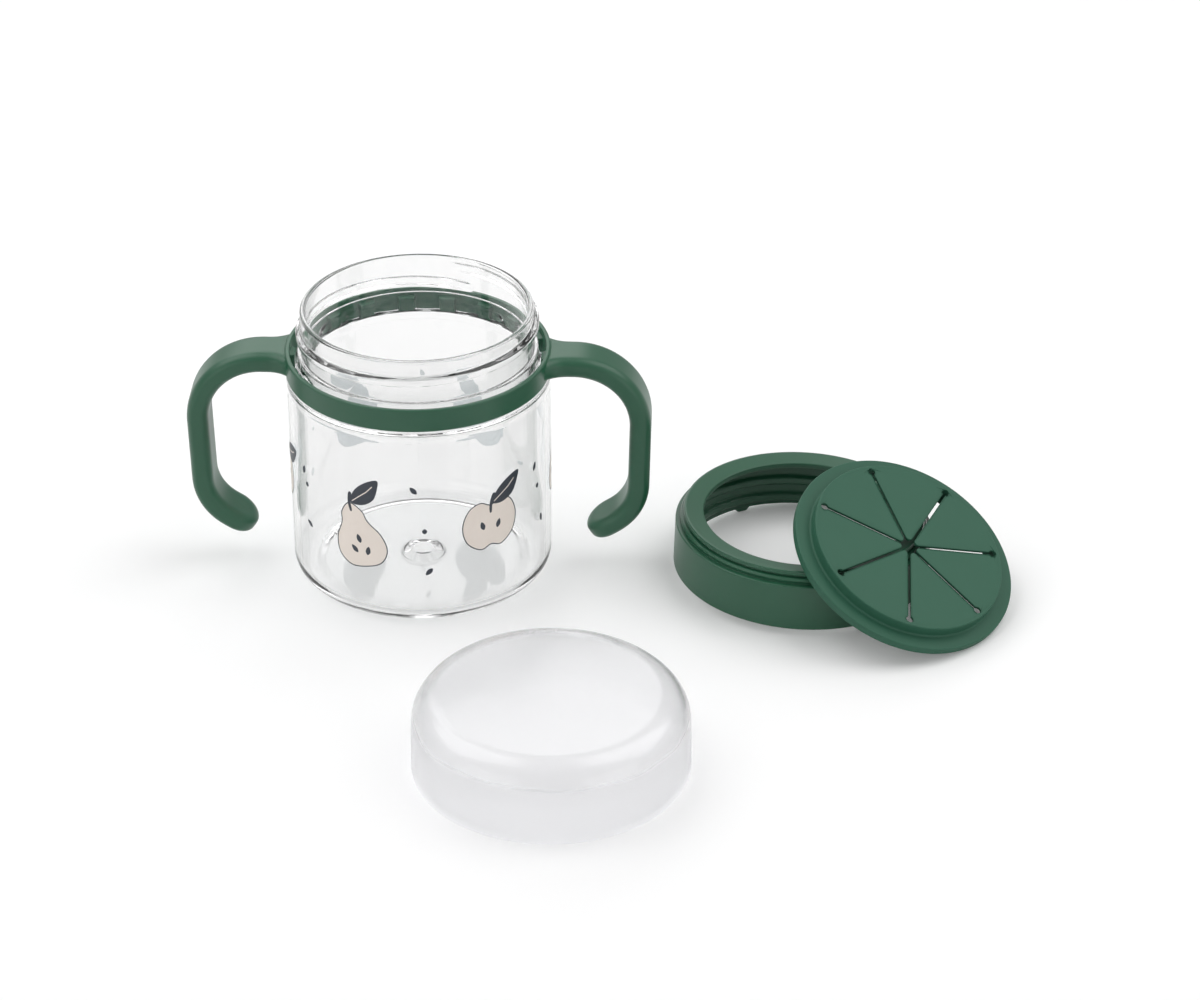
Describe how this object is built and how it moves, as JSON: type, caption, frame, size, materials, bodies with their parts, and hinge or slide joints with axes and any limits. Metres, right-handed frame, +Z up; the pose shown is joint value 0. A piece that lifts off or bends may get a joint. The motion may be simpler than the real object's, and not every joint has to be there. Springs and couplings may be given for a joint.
{
  "type": "toddler snack cup",
  "caption": "Toddler's spill-resistant snack cup set out in its pieces: clear cup with a two-handled ring, screw collar, soft slit lid and clear dust cover.",
  "frame": {"origin": "centre of the cup's base, on the table", "axes": "+Z up along the cup's axis; +X towards the collar and the lid, -Y towards the dust cover"},
  "size_m": [0.2509, 0.1908, 0.0879],
  "materials": {
    "clear_plastic": "clear moulded plastic with a soft gloss",
    "green_plastic": "semi-gloss moulded plastic",
    "green_silicone": "matte silicone rubber"
  },
  "bodies": {
    "cup": {"cup": "clear_plastic"},
    "handles": {"handle_ring": "green_plastic"},
    "collar": {"collar": "green_plastic"},
    "lid": {"insert_rim": "green_silicone"},
    "flap_1": {"flap_1": "green_silicone"},
    "flap_2": {"flap_2": "green_silicone"},
    "flap_3": {"flap_3": "green_silicone"},
    "flap_4": {"flap_4": "green_silicone"},
    "flap_5": {"flap_5": "green_silicone"},
    "flap_6": {"flap_6": "green_silicone"},
    "flap_7": {"flap_7": "green_silicone"},
    "cover": {"cover": "clear_plastic"}
  },
  "joints": [
    {"name": "handles_lift", "type": "slide", "parent": "cup", "child": "handles", "axis": [0, 0, 1], "range_m": [0, 0.08]},
    {"name": "collar_lift", "type": "slide", "parent": "cup", "child": "collar", "axis": [0, 0, 1], "range_m": [0, 0.1]},
    {"name": "lid_lift", "type": "slide", "parent": "collar", "child": "lid", "axis": [0, 0, 1], "range_m": [0, 0.06]},
    {"name": "cover_lift", "type": "slide", "parent": "cup", "child": "cover", "axis": [0, 0, 1], "range_m": [0, 0.06]},
    {"name": "flap_1_bend", "type": "hinge", "parent": "lid", "child": "flap_1", "pos_m": [0.14931, -0.00487, 0.02947], "axis": [-0.9386, -0.0622, 0.3394], "range_deg": [-3, 60], "stiffness_Nm_per_rad": 0.004},
    {"name": "flap_2_bend", "type": "hinge", "parent": "lid", "child": "flap_2", "pos_m": [0.16758, -0.01275, 0.0197], "axis": [-0.5465, 0.7033, 0.4546], "range_deg": [-3, 60], "stiffness_Nm_per_rad": 0.004},
    {"name": "flap_3_bend", "type": "hinge", "parent": "lid", "child": "flap_3", "pos_m": [0.17114, -0.03296, 0.01131], "axis": [0.2571, 0.9392, 0.2275], "range_deg": [-3, 60], "stiffness_Nm_per_rad": 0.004},
    {"name": "flap_4_bend", "type": "hinge", "parent": "lid", "child": "flap_4", "pos_m": [0.15731, -0.05027, 0.01062], "axis": [0.8671, 0.4679, -0.1709], "range_deg": [-3, 60], "stiffness_Nm_per_rad": 0.004},
    {"name": "flap_5_bend", "type": "hinge", "parent": "lid", "child": "flap_5", "pos_m": [0.13651, -0.05164, 0.01814], "axis": [0.8242, -0.3558, -0.4406], "range_deg": [-3, 60], "stiffness_Nm_per_rad": 0.004},
    {"name": "flap_6_bend", "type": "hinge", "parent": "lid", "child": "flap_6", "pos_m": [0.12439, -0.03605, 0.02821], "axis": [0.1606, -0.9115, -0.3785], "range_deg": [-3, 60], "stiffness_Nm_per_rad": 0.004},
    {"name": "flap_7_bend", "type": "hinge", "parent": "lid", "child": "flap_7", "pos_m": [0.13009, -0.01524, 0.03326], "axis": [-0.6239, -0.7809, -0.0314], "range_deg": [-3, 60], "stiffness_Nm_per_rad": 0.004}
  ]
}
